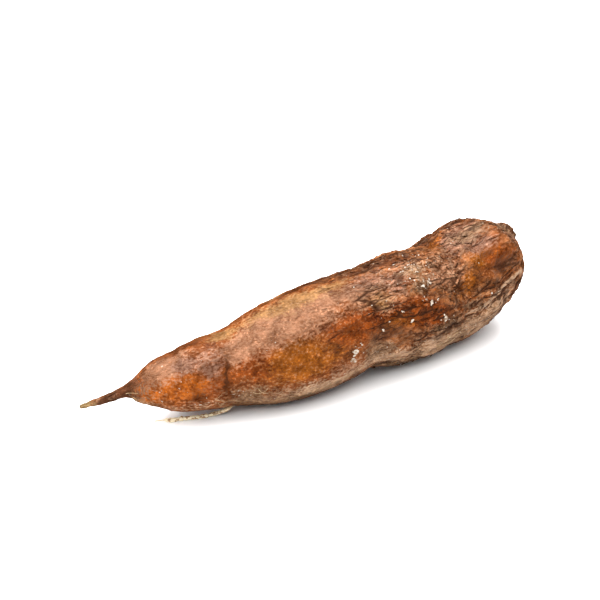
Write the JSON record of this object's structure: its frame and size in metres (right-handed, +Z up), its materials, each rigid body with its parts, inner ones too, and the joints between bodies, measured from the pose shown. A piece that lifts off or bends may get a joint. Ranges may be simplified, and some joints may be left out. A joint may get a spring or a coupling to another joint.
{
  "type": "cassava root",
  "caption": "Whole cassava root lying on its side: long tapering tuber with rough wrinkled bark, a thin tail, a cut woody neck and fine side rootlets.",
  "frame": {"origin": "under the middle of the root's bounding box, on the surface that it lies on", "axes": "+X along the root from the thin tail to the cut neck, +Z up"},
  "size_m": [0.3243, 0.0792, 0.0774],
  "materials": {
    "bark": "thin rough brown bark with a soft waxy sheen, pink-grey where it is rubbed and ochre where it has flaked"
  },
  "bodies": {
    "root": {"cassava_root": "bark"}
  },
  "joints": []
}
